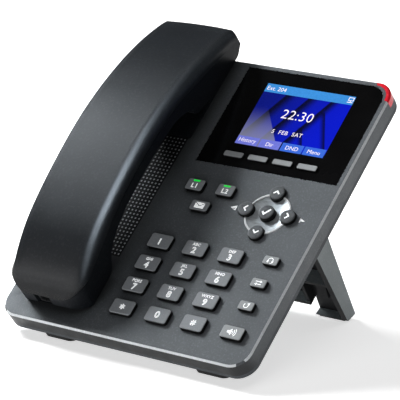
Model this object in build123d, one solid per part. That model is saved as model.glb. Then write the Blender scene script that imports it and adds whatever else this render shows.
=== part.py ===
from build123d import *
import math
import os

os.makedirs("parts", exist_ok=True)

# ----------------------------------------------------------------- driving dimensions (mm)
# The body is drawn flat in "slab" coordinates: u to the right, v up the slab, w out of its face.
# The slab's face is w = 0; the left bottom corner of the picture area is u = v = 0.
TILT = 39.2              # lean of the face above the table
X0, Y0, Z0 = 3.75, 27.5, 97.2   # where the slab's own zero goes in the row frame

BODY_U = (-85.0, 77.5)   # slab outline
BODY_V = (-135.8, 55.5)
BODY_R = 11.0            # slab corner radius
SKIN = 2.2               # moulded wall
SPLIT_W = -9.0           # joint line between the two housing halves
BACK_W = -12.0           # underside of the slab

LENS_U = (-17.6, 74.2)
LENS_V = (-15.9, 52.3)
LENS_R = 10.5            # only the outer top corner is round
LENS_T = 1.4
SCREEN = (57.6, 43.2)    # picture area

KEY_TOP = 2.1            # height of the caps above the face
KEY_BOTTOM = -4.0
KEY_TRAVEL = 1.2
KEY_GAP = 0.3
FLANGE_W = (-3.4, -2.6)
FLANGE_OUT = 0.8
MAT_W = (-6.9, -5.6)     # rubber mat under the keys
PCB_W = (-8.5, -6.9)

PAD_U0, PAD_DU = -9.39, 23.1
PAD_V0, PAD_DV = -72.25, -14.79
DIGIT = (14.06, 9.02)
FUNC_U = 61.28
FUNC = (9.14, 5.3)
NAV_C = (43.4, -41.4)
NAV_R = 13.4             # circle the four direction buttons sit on
NAV_BTN_R = 4.5
OK_R = 4.55

GRILLE_PITCH = 2.44
GRILLE_U0, GRILLE_NU = -31.5, 17
GRILLE_V0, GRILLE_NV = 5.8, 38
GRILLE_HOLE_R = 0.58

HUMP_U = (-66.0, 58.0)
HUMP_V = (-22.0, 46.0)
HUMP_W = -36.0

HINGE_V, HINGE_W = -37.0, -19.5
STAND_U = (-71.5, 64.0)
STAND_SIDE = 3.6
PIN_R = 2.0
PIN_RUN = 0.05           # running clearance of the stand on its pins

HS_U = -52.5             # handset centre line
HS_CREASE = 22.8         # half width of the flat back
HS_HALF = 25.8           # half width at the joint line
HS_FOOT = 23.9           # half width where the cups meet the face
HS_V = (-126.5, 66.5)
HS_WALL = 2.2
HS_GAP = 0.3

PLACE = Location((X0, Y0, Z0), (TILT, 0, 0))


# ----------------------------------------------------------------- helpers
def put(name, shape, place=True):
    out = shape.moved(PLACE) if place else shape
    export_step(out, f"parts/{name}.step")


def box(u, v, w):
    return Pos((u[0] + u[1]) / 2, (v[0] + v[1]) / 2, (w[0] + w[1]) / 2) * Box(
        abs(u[1] - u[0]), abs(v[1] - v[0]), abs(w[1] - w[0]))


def rbox(u, v, w, r):
    return Pos((u[0] + u[1]) / 2, (v[0] + v[1]) / 2, w[0]) * extrude(
        RectangleRounded(u[1] - u[0], v[1] - v[0], r), w[1] - w[0])


def rod(u, v, w, r):
    return Pos(u, v, w[0]) * extrude(Circle(r), w[1] - w[0])


def rod_x(u, v, w, r):
    """round bar along u"""
    return Location((u[0], v, w), (0, 90, 0)) * extrude(Circle(r), u[1] - u[0])


def side(points, u):
    """(v, w) outline extruded along u"""
    pts = [Vector(0, p[0], p[1]) for p in points]
    wire = Polyline(*pts, close=True)
    face = make_face(wire)
    solid = extrude(face, u[1] - u[0], dir=(1, 0, 0))
    return Pos(u[0], 0, 0) * solid


def group(parts):
    solids = []
    for p in parts:
        solids += list(p.solids())
    return Compound(children=solids)


def top_edges(shape, w, tol=0.02):
    return shape.edges().filter_by(
        lambda e: abs(e.bounding_box().min.Z - w) < tol and abs(e.bounding_box().max.Z - w) < tol)


# ----------------------------------------------------------------- key positions
KEYS = {}                # name: (u, v, kind)
labels = ["key_1", "key_2", "key_3", "key_4", "key_5", "key_6",
          "key_7", "key_8", "key_9", "key_star", "key_0", "key_hash"]
for n, lab in enumerate(labels):
    i, j = n % 3, n // 3
    KEYS[lab] = (PAD_U0 + PAD_DU * i, PAD_V0 + PAD_DV * j, "digit")
for j, lab in enumerate(["headset_key", "transfer_key", "redial_key"]):
    KEYS[lab] = (FUNC_U, -70.14 + PAD_DV * j, "func")
KEYS["speaker_key"] = (61.6, -116.9, "speaker")
for i in range(4):
    KEYS[f"soft_key_{i + 1}"] = (3.9 + 16.0 * i, -8.0, "soft")
KEYS["line_key_1"] = (-7.75, -32.8, "line")
KEYS["line_key_2"] = (12.3, -32.8, "line")
KEYS["message_key"] = (2.2, -45.5, "message")
KEYS["nav_up"] = (NAV_C[0], NAV_C[1] + NAV_R, "nav")
KEYS["nav_down"] = (NAV_C[0], NAV_C[1] - NAV_R, "nav")
KEYS["nav_left"] = (NAV_C[0] - NAV_R, NAV_C[1], "nav")
KEYS["nav_right"] = (NAV_C[0] + NAV_R, NAV_C[1], "nav")
KEYS["ok_key"] = (NAV_C[0], NAV_C[1], "ok")

KIND = {                 # width, height, corner radius, height of the cap
    "digit": (DIGIT[0], DIGIT[1], 1.5, KEY_TOP),
    "func": (FUNC[0], FUNC[1], 1.0, KEY_TOP),
    "speaker": (13.2, 7.5, 1.2, KEY_TOP),
    "soft": (12.3, 3.5, 0.9, 0.9),
    "line": (10.9, 7.2, 1.2, KEY_TOP + 0.2),
    "message": (11.5, 6.3, 1.2, KEY_TOP + 0.2),
    "nav": (2 * NAV_BTN_R, 2 * NAV_BTN_R, None, KEY_TOP),
    "ok": (2 * OK_R, 2 * OK_R, None, KEY_TOP + 0.2),
}


def prism(kind, u, v, w, grow=0.0):
    a, b, r, _ = KIND[kind]
    if r is None:
        return rod(u, v, w, a / 2 + grow)
    return rbox((u - a / 2 - grow, u + a / 2 + grow), (v - b / 2 - grow, v + b / 2 + grow), w, r + grow)


def key_cap(kind, u, v):
    a, b, r, top = KIND[kind]
    cap = prism(kind, u, v, (KEY_BOTTOM, top))
    soft = 0.35 if kind == "soft" else (0.8 if kind in ("nav", "ok") else 0.5)
    cap = fillet(top_edges(cap, top), soft)
    return cap + prism(kind, u, v, FLANGE_W, FLANGE_OUT)


# ----------------------------------------------------------------- slab outline
def outline(inset, w, corner=BODY_R):
    return rbox((BODY_U[0] + inset, BODY_U[1] - inset), (BODY_V[0] + inset, BODY_V[1] - inset), w,
                max(corner - inset, 1.0))


def lens_shape(grow, w):
    body = box((LENS_U[0] - grow, LENS_U[1] + grow), (LENS_V[0] - grow, LENS_V[1] + grow), w)
    e = body.edges().filter_by(Axis.Z).sort_by(lambda q: q.center().X + q.center().Y)[-1]
    return fillet(e, LENS_R + grow)


# message lamp: wraps the outer top corner of the slab
def lamp_zone(grow=0.0):
    # a fan across the corner; only its outer rim is used
    fan = make_face(Polyline((64.0 - grow, 61.0), (64.4 - grow, 55.6), (67.0 - grow, 52.0), (70.5, 47.6 - grow),
                             (73.0, 44.4 - grow), (84.0, 41.4 - grow), (84.0, 61.0), close=True))
    return Pos(0, 0, -5.25 - grow) * extrude(fan, 5.3 + 2 * grow)


GRILLE_U = (GRILLE_U0 - GRILLE_PITCH * (GRILLE_NU - 1) - 1.6, GRILLE_U0 + 1.6)
GRILLE_V = (GRILLE_V0 - GRILLE_PITCH * (GRILLE_NV - 1) - 1.6, GRILLE_V0 + 1.6)
HOOK_UV = (HS_U, 32.0)
TAB_UV = (HS_U, 49.5)
SCREWS = [(-77.0, -127.5), (69.0, -127.5), (-77.0, 47.5), (68.5, 20.0), (-77.0, -45.0), (69.5, -60.0)]

# ----------------------------------------------------------------- faceplate
face = outline(0.0, (SPLIT_W, 0.0))
face = chamfer(top_edges(face, 0.0), 1.0)
face = face - outline(SKIN, (SPLIT_W - 1, -SKIN))
for su, sv in SCREWS:
    face = face + rod(su, sv, (SPLIT_W, -SKIN + 0.2), 3.2)
face = face - lens_shape(0.1, (-LENS_T - 0.2, 1.0))
face = face - box((-3.7, 61.3), (-3.9, 47.1), (-4.0, 1.0))
cuts = []
for name, (ku, kv, kind) in KEYS.items():
    cuts.append(prism(kind, ku, kv, (-3.0, 1.0), KEY_GAP))
cuts.append(rod(NAV_C[0], NAV_C[1], (-1.8, 1.0), 12.2))
cuts.append(rod(NAV_C[0], NAV_C[1], (-0.8, 1.0), 13.5) - rod(NAV_C[0], NAV_C[1], (-0.9, 1.1), 12.1))
cuts.append(box(GRILLE_U, GRILLE_V, (-3.0, 1.0)))
cuts.append(rbox((HOOK_UV[0] - 6.3, HOOK_UV[0] + 6.3), (HOOK_UV[1] - 4.3, HOOK_UV[1] + 4.3), (-3.0, 1.0), 1.3))
cuts.append(rbox((TAB_UV[0] - 6.0, TAB_UV[0] + 6.0), (TAB_UV[1] - 3.5, TAB_UV[1] + 3.5), (-3.0, 1.0), 1.0))
for su, sv in SCREWS:
    cuts.append(rod(su, sv, (SPLIT_W - 1, -4.0), 1.25))
for s in (-1, 1):        # small arrow-shaped dimples beside the direction buttons
    tri = extrude(Pos(NAV_C[0] + s * 22.0, NAV_C[1], -0.5) * Polygon(
        (s * 1.9, 0), (-s * 1.9, 1.7), (-s * 1.9, -1.7), align=None), 2.0)
    cuts.append(tri)
face = face - cuts
ring_all = outline(0.0, (-5.2, 0.5)) - outline(2.6, (-6.0, 1.0))
lamp_cut = ring_all & lamp_zone(0.0)
face_body = face - lamp_cut
put("faceplate", face_body)

lamp = outline(0.0, (-5.2, 0.0))
lamp = chamfer(top_edges(lamp, 0.0), 1.0)
lamp = (lamp - outline(2.55, (-6.0, 1.0))) & lamp_zone(-0.05)
put("message_lamp", lamp)

# ----------------------------------------------------------------- rear housing
A = math.radians(TILT)
PANEL_TOP = (46.0, BACK_W)            # (v, w) where the upright connector panel starts
UP = (math.sin(A), math.cos(A))       # straight up in (v, w)
IN = (-math.cos(A), math.sin(A))      # straight forwards in (v, w)
PANEL_DROP = 28.6
PANEL_Y = PANEL_TOP[0] * math.cos(A) - PANEL_TOP[1] * math.sin(A) + Y0


def hump(inset):
    """electronics bulge whose connector panel stands upright when the slab leans back"""
    t = inset
    foot = (PANEL_TOP[0] - PANEL_DROP * UP[0], PANEL_TOP[1] - PANEL_DROP * UP[1])
    rise = 3.0 + t
    pts = [(HUMP_V[0] + t, BACK_W + 1.0 + t), (HUMP_V[0] + t, HUMP_W + 3.0 + 0.4 * t),
           (HUMP_V[0] + 3.0 + 0.4 * t, HUMP_W + t), (foot[0] - 2.8 - 0.3 * t, HUMP_W + t),
           (foot[0] + t * IN[0], foot[1] + t * IN[1]),
           (PANEL_TOP[0] + t * IN[0] + rise * UP[0], PANEL_TOP[1] + t * IN[1] + rise * UP[1])]
    h = side(pts, (HUMP_U[0] + t, HUMP_U[1] - t)) - box((-200, 200), (-200, 200), (BACK_W + 1.0 + t, 30.0))
    u0, u1 = HUMP_U[0] + t, HUMP_U[1] - t
    prof = make_face(Polyline(Vector(u0, -60, 20), Vector(u0, -60, HUMP_W + 3.0 + t), Vector(u0 + 3.0, -60, HUMP_W + t),
                              Vector(u1 - 3.0, -60, HUMP_W + t), Vector(u1, -60, HUMP_W + 3.0 + t),
                              Vector(u1, -60, 20), close=True))
    h = h & extrude(prof, 140.0, dir=(0, 1, 0))
    h = h & rbox((u0, u1), (HUMP_V[0] + t, 90.0), (-60.0, 20.0), 6.0 - min(t, 3.0))
    return h


rear = outline(0.0, (BACK_W, SPLIT_W))
rear = chamfer(rear.edges().filter_by(lambda e: e.bounding_box().max.Z < BACK_W + 0.02), 0.5)
rear = rear - outline(SKIN, (BACK_W + 2.0, SPLIT_W + 1))
lip = outline(SKIN + 0.15, (SPLIT_W - 1.2, SPLIT_W + 0.9)) - outline(SKIN + 1.3, (SPLIT_W - 2, SPLIT_W + 2))
for su, sv in SCREWS:
    lip = lip - rod(su, sv, (SPLIT_W - 2, SPLIT_W + 2), 3.6)
lip = lip - box((60, 80), (35, 60), (SPLIT_W - 1.0, SPLIT_W + 2))
rear = rear + lip
rear = rear + hump(0.0)
rear = rear - hump(2.2)
rear = rear - rbox((HUMP_U[0] + 2.4, HUMP_U[1] - 2.4), (HUMP_V[0] + 2.4, HUMP_V[1] - 2.6), (BACK_W - 0.5, SPLIT_W + 2), 3.8)
for pu, pv in [(-30, -122), (62, -122), (-30, -40), (62, -40), (-12, -85), (35, -85)]:
    rear = rear + rod(pu, pv, (BACK_W + 1.9, PCB_W[0]), 2.2)
# jack windows in the upright panel, drawn in the row frame
JACK_Z = 100.3
RJ45_X = [-48.0, -30.0]
RJ9_X = [-10.0, 4.0]
DC_X = 22.0
UNPLACE = PLACE.inverse()


def row_box(x, y, z):
    return box(x, y, z)


windows = []
for cx in RJ45_X:
    windows.append(row_box((cx - 8.0, cx + 8.0), (PANEL_Y - 3.0, PANEL_Y + 3.0), (JACK_Z - 7.0, JACK_Z + 7.0)))
for cx in RJ9_X:
    windows.append(row_box((cx - 5.5, cx + 5.5), (PANEL_Y - 3.0, PANEL_Y + 3.0), (JACK_Z - 7.0, JACK_Z + 4.2)))
windows.append(row_box((DC_X - 4.9, DC_X + 4.9), (PANEL_Y - 3.0, PANEL_Y + 3.0), (JACK_Z - 7.0, JACK_Z + 4.2)))
for w in windows:
    rear = rear - w.moved(UNPLACE)
# vents through the hump's underside
vents = []
for k in range(7):
    vents.append(rbox((26.0, 50.0), (-14.0 + 5.0 * k, -11.6 + 5.0 * k), (HUMP_W - 1, HUMP_W + 3.4), 1.15))
rear = rear - vents
# hinge lugs
for u in ((-67.4, -61.9), (54.4, 59.9)):
    lug = box(u, (HINGE_V - 4.5, HINGE_V + 4.5), (HINGE_W, BACK_W + 0.5)) + rod_x(u, HINGE_V, HINGE_W, 4.5)
    rear = rear + lug
rear = rear - rod_x((-72.0, -62.9), HINGE_V, HINGE_W, PIN_R)
rear = rear - rod_x((55.4, 64.5), HINGE_V, HINGE_W, PIN_R)
for su, sv in SCREWS:
    rear = rear + rod(su, sv, (BACK_W + 1.0, SPLIT_W), 3.6)
    rear = rear - rod(su, sv, (BACK_W - 1, SPLIT_W + 1), 1.75)
    rear = rear - rod(su, sv, (BACK_W - 1, BACK_W + 1.6), 3.1)
FEET_U = [(-59.5, -40.5), (41.0, 60.5)]
for fu in FEET_U:
    rear = rear - rbox(fu, (-134.6, -126.4), (BACK_W - 1, BACK_W + 0.8), 3.0)
# blank label recess and the hands-free microphone's port
rear = rear - rbox((-40.0, 20.0), (-112.0, -88.0), (BACK_W - 1, BACK_W + 0.3), 1.5)
rear = rear - rod(8.0, -129.0, (BACK_W - 1, SPLIT_W), 0.8)
put("rear_housing", rear)

screws = []
for su, sv in SCREWS:
    s = rod(su, sv, (BACK_W + 0.2, BACK_W + 1.6), 2.9) + rod(su, sv, (BACK_W + 1.6, -5.2), 1.25)
    s = s - box((su - 2.0, su + 2.0), (sv - 0.35, sv + 0.35), (BACK_W, BACK_W + 0.9))
    s = s - box((su - 0.35, su + 0.35), (sv - 2.0, sv + 2.0), (BACK_W, BACK_W + 0.9))
    screws.append(s)
put("housing_screws", group(screws))

# ----------------------------------------------------------------- loudspeaker grille
gx0, gx1 = GRILLE_U
gy0, gy1 = GRILLE_V
outer_wire = Wire.make_rect(gx1 - gx0, gy1 - gy0).moved(Location(((gx0 + gx1) / 2, (gy0 + gy1) / 2, 0)))
holes = []
for i in range(GRILLE_NU):
    for j in range(GRILLE_NV):
        holes.append(Wire.make_circle(GRILLE_HOLE_R).moved(
            Location((GRILLE_U0 - GRILLE_PITCH * i, GRILLE_V0 - GRILLE_PITCH * j, 0))))
grille_face = Face(outer_wire, holes)
grille = Pos(0, 0, -1.6) * extrude(grille_face, 1.6, dir=(0, 0, 1))
put("speaker_grille", grille)

# ----------------------------------------------------------------- display
lens = lens_shape(0.0, (-LENS_T - 0.1, -0.1))
lens = chamfer(top_edges(lens, -0.1), 0.25)
for i in range(4):
    ku, kv, kind = KEYS[f"soft_key_{i + 1}"]
    lens = lens - prism(kind, ku, kv, (-3.0, 1.0), KEY_GAP)
put("display_lens", lens)

lcd = box((-3.2, 60.8), (-3.4, 46.6), (-4.8, -1.7)) + box((-3.2, 60.8), (-3.4, 46.6), (PCB_W[1], -4.8)) \
    - box((0.5, 57.0), (0.5, 42.5), (PCB_W[1] - 1, -4.9))
lcd = lcd - box((-0.4, 58.0), (-0.4, 43.6), (-1.9, -1.0))
put("lcd_module", lcd)

# ----------------------------------------------------------------- keys
for name, (ku, kv, kind) in KEYS.items():
    cap = key_cap(kind, ku, kv)
    if kind == "line":
        slot = rbox((ku - 2.2, ku + 2.2), (kv + 2.0, kv + 3.1), (KEY_TOP - 1.3, KEY_TOP + 1), 0.5)
        light = rbox((ku - 2.2, ku + 2.2), (kv + 2.0, kv + 3.1), (KEY_TOP - 1.3, KEY_TOP + 0.2), 0.5)
        cap = cap - slot
        put(name.replace("key", "light"), light)
    put(name, cap)

# ----------------------------------------------------------------- direction cluster trim
cu, cv = NAV_C
dish_prof = Polyline(Vector(0, 0, -1.75), Vector(12.1, 0, -1.75), Vector(12.1, 0, -0.15),
                     Vector(10.0, 0, -0.55), Vector(7.5, 0, -0.9), Vector(5.0, 0, -1.05),
                     Vector(0, 0, -1.1), close=True)
dish = Pos(cu, cv, 0) * revolve(make_face(dish_prof), Axis.Z, 360)
ring = rod(cu, cv, (-0.75, 0.3), 13.4) - rod(cu, cv, (-1.0, 1.0), 12.2)
ring = fillet(top_edges(ring, 0.3), 0.3)
for name in ("nav_up", "nav_down", "nav_left", "nav_right"):
    ku, kv, kind = KEYS[name]
    dish = dish - rod(ku, kv, (-3, 3), NAV_BTN_R + KEY_GAP)
    ring = ring - rod(ku, kv, (-3, 3), NAV_BTN_R + KEY_GAP)
dish = dish - rod(cu, cv, (-3, 3), OK_R + KEY_GAP)
put("nav_dish", dish)
put("nav_ring", group([ring]))

# ----------------------------------------------------------------- rubber mat, domes, circuit board
mat = rbox((-20.0, 71.0), (-124.0, -5.4), MAT_W, 3.0)
domes = []
for name, (ku, kv, kind) in KEYS.items():
    r = 1.3 if kind == "soft" else 2.5
    mat = mat - rod(ku, kv, (MAT_W[0] - 1, MAT_W[0] + 0.7), r + 0.2)
    domes.append(rod(ku, kv, (MAT_W[0], MAT_W[0] + 0.25), r) + rod(ku, kv, (MAT_W[0] + 0.25, MAT_W[0] + 0.55), r * 0.6))
for su, sv in SCREWS:
    mat = mat - rod(su, sv, (MAT_W[0] - 1, MAT_W[1] + 1), 3.8)
put("keypad_mat", mat)
put("snap_domes", group(domes))

pcb = rbox((-28.0, 72.0), (-128.0, 48.0), PCB_W, 2.0) + rbox((-64.0, -27.0), (16.0, 44.0), PCB_W, 2.0)
for su, sv in SCREWS:
    pcb = pcb - rod(su, sv, (PCB_W[0] - 1, PCB_W[1] + 1), 4.2)
pcb = pcb + box((-10.0, 4.0), (-60.0, -46.0), (-9.6, PCB_W[0])) + box((14.0, 26.0), (-64.0, -52.0), (-9.5, PCB_W[0]))
pcb = pcb + box((20.0, 40.0), (0.0, 20.0), (-10.4, PCB_W[0])) + rod(40.0, 30.0, (-14.0, PCB_W[0]), 3.0)
put("main_board", pcb)

# ----------------------------------------------------------------- loudspeaker and microphone
spk_c = (-51.0, -40.0)
spk = rod(spk_c[0], spk_c[1], (-4.6, -1.9), 21.0) + rod(spk_c[0], spk_c[1], (-8.9, -4.6), 12.0)
spk = spk - rod(spk_c[0], spk_c[1], (-3.4, -1.0), 18.5)
spk = spk + rod(spk_c[0], spk_c[1], (-3.5, -2.6), 7.0)
put("loudspeaker", spk)
put("hands_free_mic", rod(8.0, -129.0, (-10.0, PCB_W[0]), 2.0) - rod(8.0, -129.0, (-10.1, -9.6), 0.8))

# ----------------------------------------------------------------- jacks in the upright panel (row frame)
def jack(cx, half, z, depth, plug_half, plug_z, plug_depth, latch):
    y1 = PANEL_Y - 0.2
    body = row_box((cx - half, cx + half), (y1 - depth, y1), z)
    cav = row_box((cx - plug_half, cx + plug_half), (y1 - plug_depth, y1 + 1), plug_z)
    notch = row_box((cx - latch, cx + latch), (y1 - plug_depth, y1 + 1), (plug_z[0] - 1.6, plug_z[0] + 0.5))
    return body - cav - notch


Z = JACK_Z
put("network_jacks", group([jack(c, 7.9, (Z - 6.9, Z + 6.9), 15.5, 5.9, (Z - 3.9, Z + 3.4), 12.0, 3.0)
                            for c in RJ45_X]), place=False)
put("handset_headset_jacks", group([jack(c, 5.4, (Z - 6.9, Z + 4.1), 13.0, 3.9, (Z - 4.6, Z + 1.9), 10.5, 1.9)
                                    for c in RJ9_X]), place=False)
y1 = PANEL_Y - 0.2
dc = row_box((DC_X - 4.8, DC_X + 4.8), (y1 - 13.5, y1), (Z - 6.9, Z + 4.1))
dc = dc - Location((DC_X, y1 + 1, Z - 1.4), (90, 0, 0)) * extrude(Circle(2.9), 11.0)
dc = dc + Location((DC_X, y1 - 1.5, Z - 1.4), (90, 0, 0)) * extrude(Circle(1.0), 9.5)
put("power_jack", dc, place=False)

# ----------------------------------------------------------------- cradle: hook switch and retention tab
hu, hv = HOOK_UV
plunger = rbox((hu - 6.0, hu + 6.0), (hv - 4.0, hv + 4.0), (-5.2, 0.0), 1.0)
plunger = fillet(top_edges(plunger, 0.0), 0.8)
plunger = plunger + rbox((hu - 7.0, hu + 7.0), (hv - 5.0, hv + 5.0), (-6.4, -5.6), 1.0) \
    + rbox((hu - 6.0, hu + 6.0), (hv - 4.0, hv + 4.0), (-5.7, -5.0), 1.0)
put("hook_switch", plunger)
tu, tv = TAB_UV
tab = rbox((tu - 5.9, tu + 5.9), (tv - 3.4, tv + 3.4), (-2.6, -0.2), 0.9)
tab = tab + box((tu - 3.0, tu + 3.0), (tv + 1.0, tv + 3.4), (-5.6, -2.6))
tab = tab - box((tu - 3.6, tu + 3.6), (tv - 2.2, tv - 0.4), (-1.2, 1.0))
put("handset_tab", tab)

# ----------------------------------------------------------------- stand
flange = [(HINGE_V, HINGE_W + 6.3)]
for k in range(1, 9):
    a = math.radians(90 + 90 * k / 8.0)
    flange.append((HINGE_V + 6.3 * math.cos(a), HINGE_W + 6.3 * math.sin(a)))
flange += [(-46.9, -86.3), (-46.2, -87.1), (-39.3, -89.7), (-27.0, HINGE_W + 6.3)]
full = side(flange, STAND_U)
inner = side([(-60.0, -12.0), (-60.0, -84.0), (-41.8, -86.9), (-29.7, HINGE_W + 6.4), (-29.7, -12.0)],
             (STAND_U[0] + STAND_SIDE, STAND_U[1] - STAND_SIDE))
# the tray's floor runs into a lip along the foot; above w = -28 only the two cheeks remain
stand = full - inner
stand = stand - box((STAND_U[0] + STAND_SIDE, STAND_U[1] - STAND_SIDE), (-60.0, -20.0), (-28.0, -10.0))
# raised arch between the two feet
stand = stand - box((STAND_U[0] + 21.0, STAND_U[1] - 21.0), (-60.0, -30.0), (-95.0, -78.0))
arch_lip = side([(-46.5, -78.0), (-46.3, -75.8), (-38.2, -75.8), (-38.0, -78.0)],
                (STAND_U[0] + 21.0, STAND_U[1] - 21.0))
stand = stand + (arch_lip & full)
# cross rib with a sloping shelf and two cord hooks
rib = side([(-45.2, -55.5), (-45.4, -57.5), (-33.5, -58.5), (-33.0, -56.0)],
           (STAND_U[0] + 3.0, STAND_U[1] - 3.0))
stand = stand + (rib & full)
for u in ((STAND_U[0] + 21.0, STAND_U[0] + 23.0), (STAND_U[1] - 23.0, STAND_U[1] - 21.0)):
    web = side([(-44.0, -57.0), (-45.8, -78.0), (-36.0, -78.0), (-33.0, -57.0)], u)
    stand = stand + (web & full)
for u in ((STAND_U[0] + 4.6, STAND_U[0] + 11.0), (STAND_U[1] - 11.0, STAND_U[1] - 4.6)):
    hook = side([(-45.0, -57.0), (-47.0, -66.0), (-45.2, -66.4), (-43.0, -58.5)], u)
    stand = stand + hook
for u in ((STAND_U[0] - 1, STAND_U[0] + 5), (STAND_U[1] - 5, STAND_U[1] + 1)):
    stand = stand - rod_x(u, HINGE_V, HINGE_W, PIN_R + PIN_RUN)
put("stand", stand)

pins = [rod_x((55.5, 63.6), HINGE_V, HINGE_W, PIN_R), rod_x((-71.1, -63.0), HINGE_V, HINGE_W, PIN_R)]
put("stand_pins", group(pins))

# rubber pads: cut level with the table top
above = Pos(0, 0, 100.0) * Box(600, 600, 200)          # row frame, everything over z = 0
pads = []
for u in ((STAND_U[0] + 2.2, STAND_U[0] + 18.5), (STAND_U[1] - 18.5, STAND_U[1] - 2.2)):
    raw = side([(-46.8, -80.0), (-46.9, -92.0), (-42.9, -92.0), (-42.9, -80.0)], u) - full
    keep = box((u[0] - 1, u[1] + 1), (-48.0, -40.0), (-92.0, -84.0))
    cut = ((raw & keep).moved(PLACE)) & above
    pads.append(cut.solids().sort_by(SortBy.VOLUME)[-1])
put("stand_feet", group(pads), place=False)

front = []
for fu in FEET_U:
    raw = rbox(fu, (-134.6, -126.4), (-30.0, BACK_W + 0.8), 3.0) + rbox(
        fu, (-135.7, -126.4), (-30.0, BACK_W), 3.0)
    front.append(raw.moved(PLACE) & above)
put("front_feet", group(front), place=False)

# ----------------------------------------------------------------- handset
CREST = [(-127.5, 10.5), (-124.5, 13.2), (-120.0, 16.4), (-113.0, 20.8), (-105.0, 24.8), (-95.0, 28.6),
         (-80.0, 32.0), (-60.0, 34.6), (-40.0, 36.1), (-20.0, 36.3), (0.0, 34.6), (20.0, 31.2),
         (40.0, 25.8), (55.0, 20.0), (62.0, 16.6), (68.0, 12.6)]
JOIN = [(-128.0, 10.2), (-121.8, 14.2), (-112.0, 17.0), (-97.0, 20.4), (-77.0, 25.2), (-52.0, 28.2), (-27.0, 28.7),
        (-2.0, 26.7), (23.0, 20.9), (48.0, 14.3), (68.0, 7.6)]
CHIN = [(-128.0, 8.8), (-127.2, 6.4), (-125.0, 3.0), (-121.5, 1.0), (-117.0, HS_GAP)]
ARCH = [(-101.0, HS_GAP), (-97.0, 1.3), (-94.0, 5.0), (-90.5, 10.0), (-84.0, 14.6), (-74.0, 18.0), (-58.0, 20.6),
        (-38.0, 21.6), (-16.0, 21.2), (-4.0, 19.2), (4.0, 15.6), (9.5, 10.6), (14.0, 5.2), (18.5, 1.5), (24.0, HS_GAP)]
TOE = [(57.0, HS_GAP), (59.6, 1.2), (63.0, 3.7), (68.0, 7.0)]
UNDER = "under"          # chin, flat, arch, flat, toe


def curve(points, dw=0.0):
    """list of edges along one side curve"""
    def spl(pts, **k):
        return Spline(*[Vector(0, p[0], p[1] + dw) for p in pts], **k).edge()

    def straight(p, q):
        return Line(Vector(0, p[0], p[1] + dw), Vector(0, q[0], q[1] + dw)).edge()

    if points is not UNDER:
        return [spl(points)]
    level = (0, 1, 0)
    rise = (0, 0.3, -0.95)
    return [spl(CHIN, tangents=[rise, level]), straight(CHIN[-1], ARCH[0]),
            spl(ARCH, tangents=[level, level]), straight(ARCH[-1], TOE[0]),
            spl(TOE, tangents=[level, (0, 0.83, 0.55)])]


def band(low, high, dl=0.0, dh=0.0, half=40.0):
    """everything between two side curves, extruded across the handset"""
    a, b = curve(low, dl), curve(high, dh)
    left = Line(a[0] @ 0, b[0] @ 0).edge()
    right = Line(a[-1] @ 1, b[-1] @ 1).edge()
    f = make_face(Wire(a + [right] + b + [left]))
    return Pos(HS_U - half, 0, 0) * extrude(f, 2 * half, dir=(1, 0, 0))


def hs_plan(inset, w=(-5.0, 60.0)):
    """plan shape: wide round chin, slightly bowed top end"""
    h = HS_HALF - inset
    v0, v1 = HS_V[0] + inset, HS_V[1] - inset
    rb, rt = 15.0 - inset, 3.6 - min(inset, 2.4)
    sk = Polyline((-h, v1 - 2.2), (-h, v0), (h, v0), (h, v1 - 2.2))
    bow = ThreePointArc((h, v1 - 2.2), (0, v1), (-h, v1 - 2.2))
    f = make_face([sk.edges(), bow.edges()])
    low = f.vertices().sort_by(Axis.Y)[:2]
    f = fillet(low, rb)
    up = f.vertices().filter_by(lambda q: q.Y > v1 - 3.0)
    f = fillet(up, rt)
    return Pos(HS_U, 0, w[0]) * extrude(f, w[1] - w[0])


def wedge(top_half, bottom_half, low=0.0, high=30.0):
    """long bar whose sides lean out upwards"""
    f = make_face(Polyline(Vector(-bottom_half, 0, low - 2), Vector(bottom_half, 0, low - 2),
                           Vector(top_half, 0, high), Vector(-top_half, 0, high), close=True))
    return Pos(HS_U, -140.0, 0) * extrude(f, 220.0, dir=(0, 1, 0))


def ruled(low, high, half_low, half_high):
    """solid between two side curves whose sides run straight from one to the other"""
    def at(points, u):
        return Spline(*[Vector(u, p[0], p[1]) for p in points])
    al, ar = at(low, HS_U - half_low), at(low, HS_U + half_low)
    bl, br = at(high, HS_U - half_high), at(high, HS_U + half_high)
    faces = [Face.make_surface_from_curves(al, ar), Face.make_surface_from_curves(bl, br),
             Face.make_surface_from_curves(al, bl), Face.make_surface_from_curves(ar, br)]
    for t in (0, 1):
        faces.append(Face(Wire.make_polygon([al @ t, ar @ t, br @ t, bl @ t], close=True)))
    return Solid(Shell(faces))


# back shell: flat back, creased long edges
back_out = ruled(JOIN, CREST, HS_HALF, HS_CREASE) & hs_plan(0.0)
inner_back = band(JOIN, CREST, -4.0, -HS_WALL, half=HS_CREASE - 1.2) & hs_plan(4.4)
back_shell = back_out - inner_back
put("handset_back", back_shell)

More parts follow.
